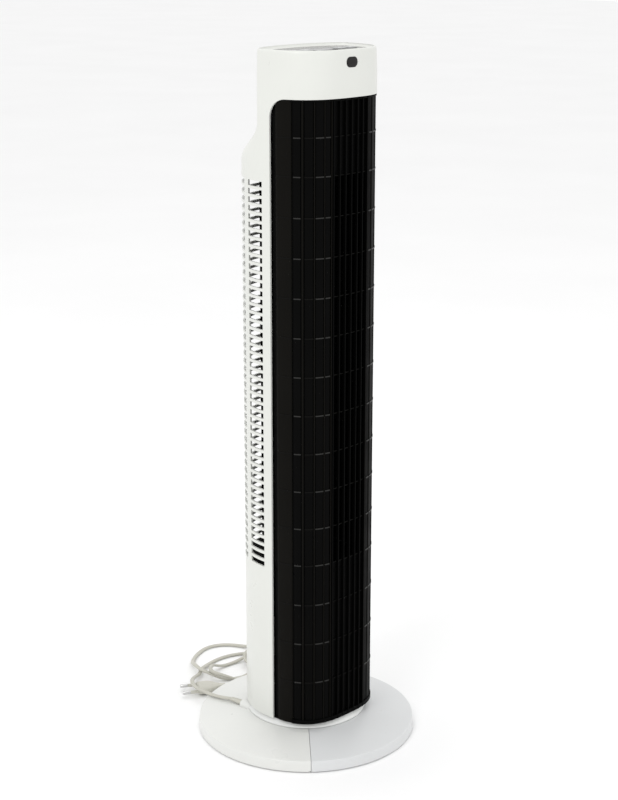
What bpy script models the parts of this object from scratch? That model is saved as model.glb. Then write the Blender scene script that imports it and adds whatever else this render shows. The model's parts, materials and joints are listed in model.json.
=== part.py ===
"""Tower fan on a round base.

The tower's front faces -Y and Z is up. The origin is on the floor at the centre of the
base, on the axis about which the tower swings. Lengths are in metres.
"""

import math

import bmesh
import bpy
from mathutils import Matrix, Vector

# ---------------------------------------------------------------- driving dimensions
GAP = 0.0004  # clearance between pieces that touch
HEIGHT = 0.747
BODY_BOTTOM = 0.032
HALF_WIDTH = 0.065
FRONT_DEPTH = 0.065
FRONT_POWER = 2.9  # how square the front of the plan is
REAR_DEPTH = 0.067
NECK_DEPTH = 0.024
SHOULDER = (0.636, 0.675)  # heights between which the back steps in to the neck
SKIN = 0.0022
HOUSING_SPLIT_Y = -0.004  # where the front and rear housings meet

BASE_RADIUS = 0.120
BASE_RIM = 0.0129
BASE_TOP = 0.024
COLLAR_RADIUS = 0.0655
COLLAR_TOP = 0.0312
RACE_HEIGHT = 0.0270  # floor of the recess in which the slide ring runs
BASE_TURN = math.radians(-43.0)  # the base's front, from the tower's, about +Z
BASE_THICKNESS = 0.0026
HUB_RADIUS = 0.018
HUB_BORE = 0.010

GRILLE_SIDE_Y = -0.0128
GRILLE_TOP = 0.699
GRILLE_CORNER = 0.018
RIB_PITCH = 0.0086
OUTLET_RIBS = 4  # bays each side of the middle rib
ROW_TOP = 0.6243
ROW_PITCH = 0.04096
OUTLET_ROWS = 10
GRILLE_BAR = 0.0022

SLOT_PITCH = 0.01724
SLOT_HEIGHT = 0.0147
SLOT_COUNT = 24
SLOT_TOP = 0.6165
SIDE_SLOT_Y = (-0.0018, 0.0215)
REAR_SLOTS_X = ((-0.0575, -0.0020), (0.0020, 0.0575))
REAR_SLOT_Y = 0.0305

BLOWER = (0.2030, 0.6290)  # underside of the lower plate, top of the upper plate
PLATE = 0.003
IMPELLER_CENTRE = (0.0, 0.012)
IMPELLER_RADIUS = 0.040
BLADES = 16

GEAR_MODULE = 0.0015
FIXED_TEETH = 32
PINION_TEETH = 12
GEAR_HEIGHTS = (0.0354, 0.0408)
SWING_MOTOR = (0.0, 0.0334)

PANEL_TOP = 0.7442
BUTTON_Y = -0.024
BUTTONS = {
    "button_power": -0.040,
    "button_speed": -0.024,
    "button_timer": 0.024,
    "button_swing": 0.040,
}
SENSOR_HEIGHTS = (0.7291, 0.7393)

CORD_RADIUS = 0.0027
GLAND_START = Vector((-0.0509, 0.0470, 0.0242))
LEAD_ROUTE = (
    (-0.0515, 0.0665, 0.0237),
    (-0.0520, 0.0760, 0.0221),
    (-0.0519, 0.0841, 0.0205),
    (-0.0512, 0.0940, 0.0187),
    (-0.0496, 0.1046, 0.0170),
    (-0.0486, 0.1110, 0.0162),
    (-0.0486, 0.1170, 0.0156),
    (-0.0480, 0.1230, 0.0148),
    (-0.0467, 0.1300, 0.0141),
    (-0.0443, 0.1376, 0.0135),
    (-0.0403, 0.1456, 0.0128),
    (-0.0343, 0.1531, 0.0116),
    (-0.0275, 0.1595, 0.0096),
    (-0.0195, 0.1651, 0.0074),
    (-0.0085, 0.1705, 0.0050),
)
COIL_CENTRE = (0.0500, 0.1720)
COIL_RADII = (0.026, 0.056)
COIL_HEIGHT = 0.0120
TAIL_ROUTE = (
    (0.0095, 0.1290, 0.0034),
    (0.0050, 0.1256, 0.0040),
    (0.0010, 0.1238, 0.0048),
    (-0.0026, 0.1233, 0.0056),
    (-0.0060, 0.1246, 0.0060),
)
PLUG_TAIL = Vector((-0.0066, 0.1250, 0.0060))
PLUG_DIRECTION = Vector((-0.849, 0.529, 0.0))
PLUG_LENGTH = 0.033
PLUG_FLATTENING = (1.50, 0.66)
PIN_LENGTH = 0.019
PIN_SPACING = 0.019

COLOURS = {
    "white_plastic": ((0.80, 0.80, 0.76), 0.32, 0.0),
    "base_plastic": ((0.78, 0.78, 0.76), 0.35, 0.0),
    "black_plastic": ((0.012, 0.011, 0.010), 0.42, 0.0),
    "panel_plastic": ((0.16, 0.15, 0.15), 0.15, 0.0),
    "lens_plastic": ((0.006, 0.006, 0.006), 0.08, 0.0),
    "button_plastic": ((0.55, 0.55, 0.53), 0.35, 0.0),
    "grey_plastic": ((0.42, 0.42, 0.40), 0.5, 0.0),
    "nylon": ((0.72, 0.70, 0.62), 0.45, 0.0),
    "steel": ((0.60, 0.60, 0.60), 0.28, 1.0),
    "motor_steel": ((0.33, 0.33, 0.34), 0.42, 1.0),
    "rubber": ((0.03, 0.03, 0.03), 0.8, 0.0),
    "board": ((0.05, 0.22, 0.09), 0.45, 0.0),
    "cord_sheath": ((0.62, 0.61, 0.53), 0.45, 0.0),
}


# ---------------------------------------------------------------- scene and objects
def start_scene():
    for obj in list(bpy.data.objects):
        bpy.data.objects.remove(obj, do_unlink=True)
    for name in ("tower_fan", "cutters"):
        bpy.context.scene.collection.children.link(bpy.data.collections.new(name))
    for name, (colour, roughness, metallic) in COLOURS.items():
        material = bpy.data.materials.new(name)
        material.use_nodes = True
        shader = material.node_tree.nodes["Principled BSDF"]
        shader.inputs["Base Color"].default_value = (*colour, 1.0)
        shader.inputs["Roughness"].default_value = roughness
        shader.inputs["Metallic"].default_value = metallic
        material.diffuse_color = (*colour, 1.0)


def add_object(name, data, material):
    """Links data as a part or, where material is None, as a cutter."""
    obj = bpy.data.objects.new(name, data)
    if material is None:
        bpy.data.collections["cutters"].objects.link(obj)
        obj.hide_render = True
        obj.display_type = "WIRE"
    else:
        bpy.data.collections["tower_fan"].objects.link(obj)
        own = bpy.data.materials[material].copy()
        own.name = f"{name}_{material}"
        data.materials.append(own)
    return obj


def mesh_object(name, bm, material):
    mesh = bpy.data.meshes.new(name)
    bm.to_mesh(mesh)
    bm.free()
    return add_object(name, mesh, material)


def smooth(obj, angle=35.0):
    obj.data.shade_smooth()
    obj.data.set_sharp_from_angle(angle=math.radians(angle))
    return obj


def as_mesh(curve_object, material):
    """The closed mesh of a curve object, which it replaces."""
    bpy.context.view_layer.update()
    graph = bpy.context.evaluated_depsgraph_get()
    mesh = bpy.data.meshes.new_from_object(curve_object.evaluated_get(graph))
    bm = bmesh.new()
    bm.from_mesh(mesh)
    bpy.data.meshes.remove(mesh)
    bmesh.ops.remove_doubles(bm, verts=bm.verts, dist=0.00002)
    bmesh.ops.recalc_face_normals(bm, faces=bm.faces)
    name, place = curve_object.name, curve_object.matrix_world.copy()
    bpy.data.objects.remove(curve_object, do_unlink=True)
    obj = mesh_object(name, bm, material)
    obj.matrix_world = place
    return obj


def cut(target, cutter, operation="DIFFERENCE"):
    modifier = target.modifiers.new(f"{operation.lower()}_{cutter.name}", "BOOLEAN")
    modifier.operation = operation
    modifier.object = cutter
    modifier.solver = "EXACT"
    return target


# ---------------------------------------------------------------- basic shapes
def prism(name, outlines, low, high, material):
    """A flat outline, with holes after it, between two heights."""
    curve = bpy.data.curves.new(name, "CURVE")
    curve.dimensions = "2D"
    curve.fill_mode = "BOTH"
    curve.extrude = (high - low) / 2
    for outline in outlines:
        spline = curve.splines.new("POLY")
        spline.points.add(len(outline) - 1)
        for point, (x, y) in zip(spline.points, outline):
            point.co = (x, y, 0.0, 1.0)
        spline.use_cyclic_u = True
    obj = bpy.data.objects.new(name, curve)
    bpy.context.scene.collection.objects.link(obj)
    obj.location.z = (low + high) / 2
    return as_mesh(obj, material)


def cylinder(name, radius, low, high, material, centre=(0.0, 0.0), sides=32, top_radius=None):
    bm = bmesh.new()
    bmesh.ops.create_cone(
        bm,
        cap_ends=True,
        segments=sides,
        radius1=radius,
        radius2=radius if top_radius is None else top_radius,
        depth=high - low,
    )
    obj = mesh_object(name, bm, material)
    obj.location = (centre[0], centre[1], (low + high) / 2)
    return smooth(obj)


def box(name, low, high, material, bevel=0.0):
    bm = bmesh.new()
    bmesh.ops.create_cube(bm, size=1.0)
    size = Vector(high) - Vector(low)
    bmesh.ops.scale(bm, vec=size, verts=bm.verts)
    obj = mesh_object(name, bm, material)
    obj.location = (Vector(low) + Vector(high)) / 2
    if bevel:
        modifier = obj.modifiers.new("edges", "BEVEL")
        modifier.width = bevel
        modifier.segments = 2
    return obj


def boxes(name, corners):
    """One cutter made of several boxes that don't touch."""
    bm = bmesh.new()
    for low, high in corners:
        size = Vector(high) - Vector(low)
        place = Matrix.Translation((Vector(low) + Vector(high)) / 2)
        bmesh.ops.create_cube(bm, size=1.0, matrix=place @ Matrix.Diagonal((*size, 1.0)))
    return mesh_object(name, bm, None)


def turned(name, profile, material, steps=32, closed=True):
    """A profile of (radius, height) turned about Z; it runs down its outer side."""
    bm = bmesh.new()
    points = [bm.verts.new((r, 0.0, z)) for r, z in profile]
    for first, second in zip(points, points[1:]):
        bm.edges.new((first, second))
    if closed:
        bm.edges.new((points[-1], points[0]))
    obj = mesh_object(name, bm, material)
    screw = obj.modifiers.new("turn", "SCREW")
    screw.axis = "Z"
    screw.angle = math.tau
    screw.steps = steps
    screw.render_steps = steps
    screw.use_merge_vertices = True
    screw.merge_threshold = 0.00005
    screw.use_smooth_shade = True
    return obj


def tube(name, route, radius, material, spacing=0.012, resolution=2):
    """A round cord along a smooth curve through the route's points."""
    points = [Vector(p) for p in route]
    ends = [2 * points[0] - points[1], *points, 2 * points[-1] - points[-2]]
    line = []
    for before, start, end, after in zip(ends, ends[1:], ends[2:], ends[3:]):
        count = max(1, round((end - start).length / spacing))
        for step in range(count):
            t = step / count
            line.append(
                0.5
                * (
                    2 * start
                    + t * (end - before)
                    + t * t * (2 * before - 5 * start + 4 * end - after)
                    + t**3 * (3 * start - before - 3 * end + after)
                )
            )
    line.append(points[-1])
    curve = bpy.data.curves.new(name, "CURVE")
    curve.dimensions = "3D"
    curve.bevel_depth = radius
    curve.bevel_resolution = resolution
    curve.use_fill_caps = True
    spline = curve.splines.new("POLY")
    spline.points.add(len(line) - 1)
    for point, place in zip(spline.points, line):
        point.co = (*place, 1.0)
    return add_object(name, curve, material)


def wall(name, path, low, high, material, thickness=SKIN):
    """A thin wall on a plan path whose outer side is on the right as it is walked."""
    bm = bmesh.new()
    below = [bm.verts.new((x, y, low)) for x, y in path]
    above = [bm.verts.new((x, y, high)) for x, y in path]
    for i in range(len(path) - 1):
        bm.faces.new((below[i], below[i + 1], above[i + 1], above[i]))
    bm.normal_update()
    return thicken(mesh_object(name, bm, material), thickness)


def thicken(obj, thickness):
    modifier = obj.modifiers.new("thickness", "SOLIDIFY")
    modifier.thickness = thickness
    modifier.offset = -1.0
    modifier.use_even_offset = True
    return obj


# ---------------------------------------------------------------- the tower's plan
def front_y(x):
    return -FRONT_DEPTH * (1 - abs(x / HALF_WIDTH) ** FRONT_POWER) ** (1 / FRONT_POWER)


def front_x(y):
    return HALF_WIDTH * (1 - abs(y / FRONT_DEPTH) ** FRONT_POWER) ** (1 / FRONT_POWER)


def front_path(side_y):
    """The front from the left side round to the right, as far back as side_y."""
    middle = [RIB_PITCH * i for i in range(OUTLET_RIBS + 1)] + [0.043, 0.0505, 0.0565]
    right = [(x, front_y(x)) for x in middle]
    for y in (-0.031, -0.021, GRILLE_SIDE_Y, HOUSING_SPLIT_Y):
        if y < side_y - 0.001:
            right.append((front_x(y), y))
    right.append((front_x(side_y), side_y))
    return [(-x, y) for x, y in reversed(right[1:])] + right


def rear_path(side_y, depth, steps=16):
    """The back from the right side round to the left."""
    turns = [math.pi * i / steps for i in range(steps + 1)]
    back = [(HALF_WIDTH * math.cos(t), depth * math.sin(t)) for t in turns]
    return [(front_x(side_y), side_y), *back, (-front_x(side_y), side_y)]


def inset_path(path, distance):
    """A closed path moved inwards; it is walked with its outer side on the right."""
    moved = []
    count = len(path)
    for i in range(count):
        before = Vector(path[i - 1])
        here = Vector(path[i])
        after = Vector(path[(i + 1) % count])
        first = (here - before).normalized()
        second = (after - here).normalized()
        left = Vector((-first.y - second.y, first.x + second.x)).normalized()
        slant = max(0.5, left.dot(Vector((-first.y, first.x))))
        moved.append(tuple(here + left * distance / slant))
    return moved


def body_outline(depth, inset=0.0):
    """The whole plan at a height where the back has this depth."""
    front = front_path(HOUSING_SPLIT_Y)
    back = rear_path(HOUSING_SPLIT_Y, depth)
    return inset_path(front + back[1:-1], inset)


def rounded(width, length, radius, centre=(0.0, 0.0), steps=4):
    """A rectangle with round corners."""
    points = []
    for corner in range(4):
        turn = corner * math.pi / 2
        cx = (width / 2 - radius) * (1 if corner in (0, 3) else -1)
        cy = (length / 2 - radius) * (1 if corner in (0, 1) else -1)
        for step in range(steps + 1):
            t = turn + step * math.pi / 2 / steps
            x = centre[0] + cx + radius * math.cos(t)
            points.append((x, centre[1] + cy + radius * math.sin(t)))
    return points


def circle(radius, centre=(0.0, 0.0), steps=32):
    turns = [math.tau * i / steps for i in range(steps)]
    return [(centre[0] + radius * math.cos(t), centre[1] + radius * math.sin(t)) for t in turns]


def turned_place(angle, radius, extra=0.0):
    """A place on the base: an angle from the base's front, and a radius."""
    t = BASE_TURN - math.pi / 2 + angle + extra
    return (radius * math.cos(t), radius * math.sin(t))


def along(start, end):
    """The matrix that stands Z along a line, with its origin at the line's start."""
    ahead = (end - start).normalized()
    across = Vector((0.0, 0.0, 1.0)).cross(ahead).normalized()
    turn = Matrix((across, ahead.cross(across), ahead)).transposed()
    return Matrix.Translation(start) @ turn.to_4x4()


def stand_on(obj, place):
    """Moves an object into the frame of another matrix."""
    bpy.context.view_layer.update()
    obj.matrix_world = place @ obj.matrix_world


# ---------------------------------------------------------------- base
def base_halves():
    profile = (
        (0.0400, BASE_TOP),
        (0.0660, BASE_TOP),
        (0.1189, BASE_RIM),
        (0.1196, 0.0120),
        (BASE_RADIUS, 0.0010),
        (0.1020, 0.0010),
        (0.1020, 0.0034),
        (0.1168, 0.0034),
        (0.1165, 0.0104),
        (0.0650, BASE_TOP - BASE_THICKNESS),
        (0.0400, BASE_TOP - BASE_THICKNESS),
    )
    seam = Matrix.Rotation(BASE_TURN, 4, "Z")
    reach = 0.3
    for name, side in (("base_left", -1), ("base_right", 1)):
        half = turned(name, profile, "base_plastic", steps=48)
        bm = bmesh.new()
        bmesh.ops.create_cube(bm, size=reach)
        other = mesh_object(f"{name}_cutter", bm, None)
        place = Matrix.Translation((-side * (reach / 2 - GAP / 2), 0.0, 0.0))
        other.matrix_world = seam @ place
        cut(half, other)
        cut(half, clamp_holes(f"{name}_holes"))
        if side < 0:
            relief = cylinder("lead_relief", 0.0046, -0.0015, 0.026, None, sides=24)
            stand_on(relief, along(GLAND_START, Vector(LEAD_ROUTE[0])))
            cut(half, relief)


def clamp_holes(name):
    """Holes for the four screws that hold the base halves to the collar."""
    bm = bmesh.new()
    for quarter in range(4):
        x, y = turned_place(math.pi / 4 + quarter * math.pi / 2, 0.050)
        place = Matrix.Translation((x, y, 0.0192))
        bmesh.ops.create_cone(
            bm, cap_ends=True, segments=12, radius1=0.0019, radius2=0.0019, depth=0.0130, matrix=place
        )
    return mesh_object(name, bm, None)


def turntable():
    collar = turned(
        "turntable_collar",
        (
            (HUB_BORE, 0.0350),
            (HUB_RADIUS, 0.0350),
            (HUB_RADIUS, RACE_HEIGHT),
            (0.0570, RACE_HEIGHT),
            (0.0570, COLLAR_TOP),
            (0.0610, COLLAR_TOP),
            (COLLAR_RADIUS, 0.0262),
            (COLLAR_RADIUS, BASE_TOP + GAP),
            (0.0396, BASE_TOP + GAP),
            (0.0396, 0.0050),
            (0.0370, 0.0050),
            (0.0370, 0.0210),
            (HUB_BORE, 0.0210),
        ),
        "grey_plastic",
        steps=48,
    )
    cut(collar, clamp_holes("collar_holes"))
    cut(collar, gear_screw_holes("hub_holes", 0.0270, 0.0360))
    clamp = turned(
        "clamp_ring",
        ((0.0402, 0.0210), (0.0600, 0.0210), (0.0600, 0.0182), (0.0402, 0.0182)),
        "grey_plastic",
    )
    cut(clamp, clamp_holes("clamp_holes"))
    for quarter in range(4):
        centre = turned_place(math.pi / 4 + quarter * math.pi / 2, 0.050)
        screw(f"clamp_screw_{quarter + 1}", centre, 0.0178, 0.0252, -1)
    turned(
        "slide_ring",
        ((0.0200, 0.0316), (0.0560, 0.0316), (0.0560, 0.0274), (0.0200, 0.0274)),
        "nylon",
        steps=48,
    )


def screw(name, centre, seat, tip, head_side, shank=0.0015, head=0.0030):
    """A screw whose head stands 1.8 mm off its seat, on the side head_side along Z."""
    profile = [(0.0, tip), (shank, tip), (shank, seat), (head, seat)]
    profile += [(head, seat + head_side * 0.0013), (head * 0.7, seat + head_side * 0.0018)]
    profile += [(0.0, seat + head_side * 0.0018)]
    if head_side > 0:
        profile.reverse()
    obj = turned(name, profile, "steel", steps=12, closed=False)
    obj.location = (centre[0], centre[1], 0.0)
    return obj


def feet():
    for i in range(4):
        centre = turned_place(math.pi / 4 + i * math.pi / 2, 0.1100)
        cylinder(f"foot_{i + 1}", 0.0060, 0.0, 0.0007, "rubber", centre, sides=20)


def gear_outline(teeth, phase):
    """A toothed outline at the gears' module; its teeth leave running clearance."""
    pitch = teeth * GEAR_MODULE / 2
    root, tip = pitch - 0.0016, pitch + 0.0010
    points = []
    for tooth in range(teeth):
        middle = (tooth + phase) * math.tau / teeth
        for radius, part in ((root, -0.29), (tip, -0.11), (tip, 0.11), (root, 0.29)):
            t = middle + part * math.tau / teeth
            points.append((radius * math.cos(t), radius * math.sin(t)))
    return points


def gears():
    low, high = GEAR_HEIGHTS
    ring = [gear_outline(FIXED_TEETH, 0.0), circle(HUB_BORE, steps=24)]
    fixed = prism("fixed_gear", ring, low, high, "nylon")
    cut(fixed, gear_screw_holes("gear_holes", low - 0.001, high + 0.001))
    for i in range(3):
        t = math.radians(30 + 120 * i)
        centre = (0.014 * math.cos(t), 0.014 * math.sin(t))
        screw(f"gear_screw_{i + 1}", centre, high + GAP, 0.0290, 1, shank=0.0012, head=0.0024)
    pinion = prism("swing_pinion", [gear_outline(PINION_TEETH, 0.5)], low, high, "nylon")
    spindle = cylinder("spindle_union", 0.0030, high - 0.001, 0.0480, None, sides=16)
    cut(pinion, spindle, "UNION")
    for obj in (pinion, spindle):
        obj.location.x += SWING_MOTOR[0]
        obj.location.y += SWING_MOTOR[1]


def gear_screw_holes(name, low, high):
    bm = bmesh.new()
    for i in range(3):
        t = math.radians(30 + 120 * i)
        place = Matrix.Translation((0.014 * math.cos(t), 0.014 * math.sin(t), (low + high) / 2))
        bmesh.ops.create_cone(
            bm, cap_ends=True, segments=12, radius1=0.0016, radius2=0.0016, depth=high - low, matrix=place
        )
    return mesh_object(name, bm, None)


# ---------------------------------------------------------------- tower skins
def grille_cutter(name, inset):
    """The front opening, seen from the front, pushed through the front of the tower."""
    half = 0.0900
    side = -GRILLE_SIDE_Y
    path = [(side + inset, -0.01), (0.1, -0.01), (0.1, GRILLE_TOP - inset)]
    centre = (side + GRILLE_CORNER, GRILLE_TOP - GRILLE_CORNER)
    for step in range(7):
        t = math.pi / 2 * (1 + step / 6)
        radius = GRILLE_CORNER - inset
        path.append((centre[0] + radius * math.cos(t), centre[1] + radius * math.sin(t)))
    obj = prism(name, [path], -half, half, None)
    obj.matrix_world = Matrix(((0, 0, 1, 0), (-1, 0, 0, 0), (0, 1, 0, 0), (0, 0, 0, 1)))
    return obj


def front_skins():
    housing = wall("front_housing", front_path(HOUSING_SPLIT_Y), BODY_BOTTOM, HEIGHT, "white_plastic")
    cut(housing, grille_cutter("front_opening", 0.0))
    low, high = SENSOR_HEIGHTS
    cut(housing, box("sensor_hole", (-0.0082, -0.080, low), (0.0082, -0.050, high), None))
    pane_low = (-0.0078, -0.0648, low + GAP)
    box("sensor_window", pane_low, (0.0078, -0.0630, high - GAP), "lens_plastic")
    grille = wall("front_grille", front_path(HOUSING_SPLIT_Y), BODY_BOTTOM, GRILLE_TOP, "black_plastic")
    cut(grille, grille_cutter("grille_outline", GAP), "INTERSECT")
    cut(grille, outlet_openings())


def outlet_openings():
    corners = []
    for row in range(OUTLET_ROWS):
        top = ROW_TOP - row * ROW_PITCH - GRILLE_BAR / 2
        low = top - ROW_PITCH + GRILLE_BAR
        for bay in range(-OUTLET_RIBS, OUTLET_RIBS):
            left = bay * RIB_PITCH + GRILLE_BAR / 2
            right = left + RIB_PITCH - GRILLE_BAR
            corners.append(((left, -0.08, low), (right, -0.045, top)))
    return boxes("outlet_openings", corners)


def rear_depth(z):
    low, high = SHOULDER
    t = min(1.0, max(0.0, (z - low) / (high - low)))
    step = t * t * (3 - 2 * t)
    return REAR_DEPTH + (NECK_DEPTH - REAR_DEPTH) * step


def rear_housing():
    low, high = SHOULDER
    heights = [BODY_BOTTOM, low, *(low + (high - low) * i / 8 for i in range(1, 9)), HEIGHT]
    bm = bmesh.new()
    rows = []
    for z in heights:
        path = rear_path(HOUSING_SPLIT_Y + GAP, rear_depth(z))
        rows.append([bm.verts.new((x, y, z)) for x, y in path])
    for below, above in zip(rows, rows[1:]):
        for i in range(len(below) - 1):
            bm.faces.new((below[i], below[i + 1], above[i + 1], above[i]))
    bm.normal_update()
    housing = thicken(mesh_object("rear_housing", bm, "white_plastic"), SKIN)
    cut(housing, intake_openings())


def intake_openings():
    corners = []
    for slot in range(SLOT_COUNT):
        top = SLOT_TOP - slot * SLOT_PITCH
        low = top - SLOT_HEIGHT
        for side in (-1, 1):
            xs = sorted((side * 0.080, side * 0.055))
            corners.append(((xs[0], SIDE_SLOT_Y[0], low), (xs[1], SIDE_SLOT_Y[1], top)))
        for left, right in REAR_SLOTS_X:
            corners.append(((left, REAR_SLOT_Y, low), (right, 0.080, top)))
    return boxes("intake_openings", corners)


def bottom_plate():
    outline = body_outline(REAR_DEPTH, SKIN + GAP)
    holes = [outline, circle(HUB_RADIUS + GAP, steps=32)]
    plate = prism("bottom_plate", holes, BODY_BOTTOM, 0.0350, "grey_plastic")
    for side in (-1, 1):
        centre = (SWING_MOTOR[0] + side * 0.0230, SWING_MOTOR[1])
        cut(plate, cylinder("post_union", 0.0038, 0.0330, 0.0446, None, centre, sides=16), "UNION")
        cut(plate, cylinder("post_hole", 0.0017, 0.0370, 0.0460, None, centre, sides=12))


# ---------------------------------------------------------------- air path
def blower_plates():
    low, high = BLOWER
    outline = body_outline(REAR_DEPTH, SKIN + GAP)
    x, y = IMPELLER_CENTRE
    lower = [outline, circle(0.0060, IMPELLER_CENTRE, steps=24)]
    plate = prism("blower_plate_lower", lower, low, low + PLATE, "black_plastic")
    for i in range(3):
        t = math.tau * i / 3
        centre = (x + 0.0260 * math.cos(t), y + 0.0260 * math.sin(t))
        post = cylinder("motor_post_union", 0.0042, 0.1940, low + 0.001, None, centre, sides=16)
        cut(plate, post, "UNION")
        cut(plate, cylinder("motor_post_hole", 0.0017, 0.1900, 0.2010, None, centre, sides=12))
        grommet = [circle(0.0042, centre, steps=16), circle(0.0020, centre, steps=12)]
        prism(f"motor_grommet_{i + 1}", grommet, 0.1904, 0.1936, "rubber")
        screw(f"motor_screw_{i + 1}", centre, 0.1856, 0.1990, -1)
    upper = [outline, circle(0.0070 + GAP, IMPELLER_CENTRE, steps=24)]
    prism("blower_plate_upper", upper, high - PLATE, high, "black_plastic")
    bush = [circle(0.0070, IMPELLER_CENTRE, steps=24), circle(0.00315, IMPELLER_CENTRE, steps=24)]
    prism("upper_bush", bush, high - PLATE, high + 0.0010, "nylon")


def air_walls():
    low, high = BLOWER[0] + PLATE + GAP, BLOWER[1] - PLATE - GAP
    scroll = (
        (0.0375, -0.0560),
        (0.0425, -0.0430),
        (0.0480, -0.0250),
        (0.0505, -0.0050),
        (0.0510, 0.0120),
        (0.0490, 0.0260),
        (0.0440, 0.0370),
        (0.0360, 0.0460),
    )
    wall("scroll_wall", scroll, low, high, "black_plastic", 0.0016)
    tongue = (
        (-0.0480, -0.0170),
        (-0.0400, -0.0200),
        (-0.0355, -0.0240),
        (-0.0345, -0.0320),
        (-0.0358, -0.0450),
        (-0.0375, -0.0560),
    )
    wall("vortex_tongue", tongue, low, high, "black_plastic", 0.0016)


def impeller():
    low, high = BLOWER[0] + PLATE + 0.0040, BLOWER[1] - PLATE - 0.0040
    x, y = IMPELLER_CENTRE
    bm = bmesh.new()
    for blade in range(BLADES):
        place = Matrix.Rotation(math.tau * blade / BLADES, 4, "Z")
        place = place @ Matrix.Translation((IMPELLER_RADIUS - 0.0052, 0.0, (low + high) / 2))
        place = place @ Matrix.Rotation(math.radians(38), 4, "Z")
        size = Matrix.Diagonal((0.0090, 0.0011, high - low - 0.0004, 1.0))
        bmesh.ops.create_cube(bm, size=1.0, matrix=place @ size)
    blades = mesh_object("blades_union", bm, None)
    bore = circle(0.0046, steps=20)
    rotor = prism("impeller", [circle(IMPELLER_RADIUS), bore], low, low + 0.0020, "black_plastic")
    top = prism("top_disc_union", [circle(IMPELLER_RADIUS), bore], high - 0.0020, high, None)
    ring = [circle(IMPELLER_RADIUS, steps=32), circle(IMPELLER_RADIUS - 0.0105, steps=32)]
    middle = prism("middle_disc_union", ring, (low + high) / 2, (low + high) / 2 + 0.0012, None)
    for part in (blades, top, middle):
        cut(rotor, part, "UNION")
        part.location.x += x
        part.location.y += y
    rotor.location.x += x
    rotor.location.y += y
    shaft = turned(
        "motor_shaft",
        (
            (0.0, low + 0.0019),
            (0.0042, low + 0.0019),
            (0.0042, 0.1500),
            (0.0, 0.1500),
        ),
        "steel",
        steps=16,
        closed=False,
    )
    shaft.location = (x, y, 0.0)
    cylinder("top_pin", 0.0030, high - 0.0018, BLOWER[1] + 0.0006, "steel", IMPELLER_CENTRE, sides=20)


def motor():
    can = turned(
        "motor_can",
        (
            (0.0, 0.1480),
            (0.0048, 0.1480),
            (0.0048, 0.1890),
            (0.0110, 0.1890),
            (0.0110, 0.1860),
            (0.0200, 0.1860),
            (0.0200, 0.1810),
            (0.0320, 0.1790),
            (0.0330, 0.1760),
            (0.0330, 0.1330),
            (0.0300, 0.1300),
            (0.0, 0.1300),
        ),
        "motor_steel",
        steps=32,
        closed=False,
    )
    x, y = IMPELLER_CENTRE
    can.location = (x, y, 0.0)
    ring = [circle(0.0310, IMPELLER_CENTRE, steps=32), circle(0.0114, IMPELLER_CENTRE, steps=24)]
    bracket = prism("motor_bracket", ring, 0.1864, 0.1900, "motor_steel")
    for i in range(3):
        t = math.tau * i / 3
        centre = (x + 0.0260 * math.cos(t), y + 0.0260 * math.sin(t))
        cut(bracket, cylinder("bracket_hole", 0.0020, 0.1800, 0.1950, None, centre, sides=12))


def swing_motor():
    x, y = SWING_MOTOR
    bracket = [rounded(0.0560, 0.0140, 0.0060, SWING_MOTOR), circle(0.0040, SWING_MOTOR, steps=20)]
    bracket += [circle(0.0020, (x + side * 0.0230, y), steps=12) for side in (-1, 1)]
    prism("swing_bracket", bracket, 0.0450, 0.0466, "steel")
    for i, side in enumerate((-1, 1)):
        screw(f"swing_screw_{i + 1}", (x + side * 0.0230, y), 0.0470, 0.0385, 1)
    can = cylinder("swing_motor", 0.0190, 0.0470, 0.0640, "motor_steel", SWING_MOTOR, sides=32)
    cut(can, cylinder("spindle_hole", 0.0036, 0.0460, 0.0490, None, SWING_MOTOR, sides=20))


# ---------------------------------------------------------------- head
def head():
    outline = body_outline(NECK_DEPTH, SKIN + GAP)
    holes = [rounded(0.0124, 0.0124, 0.0030, (x, BUTTON_Y)) for x in BUTTONS.values()]
    display = rounded(0.0304, 0.0164, 0.0020, (0.0, BUTTON_Y))
    panel = prism("top_panel", [outline, *holes, display], 0.7420, PANEL_TOP, "panel_plastic")
    lens = rounded(0.0298, 0.0158, 0.0018, (0.0, BUTTON_Y))
    prism("display_lens", [lens], 0.7428, PANEL_TOP + 0.0002, "lens_plastic")
    for name, x in BUTTONS.items():
        cap = rounded(0.0116, 0.0116, 0.0027, (x, BUTTON_Y))
        prism(name, [cap], 0.7416, PANEL_TOP + 0.0012, "button_plastic")
    board = rounded(0.1080, 0.0340, 0.0030, (0.0, BUTTON_Y + 0.0080))
    prism("control_board", [board], 0.7370, 0.7386, "board")
    box("infrared_receiver", (-0.004, -0.0520, 0.7310), (0.004, -0.0480, 0.7366), "lens_plastic")
    box("motor_capacitor", (0.030, -0.028, 0.0354), (0.046, -0.010, 0.0600), "black_plastic", bevel=0.0010)


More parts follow.
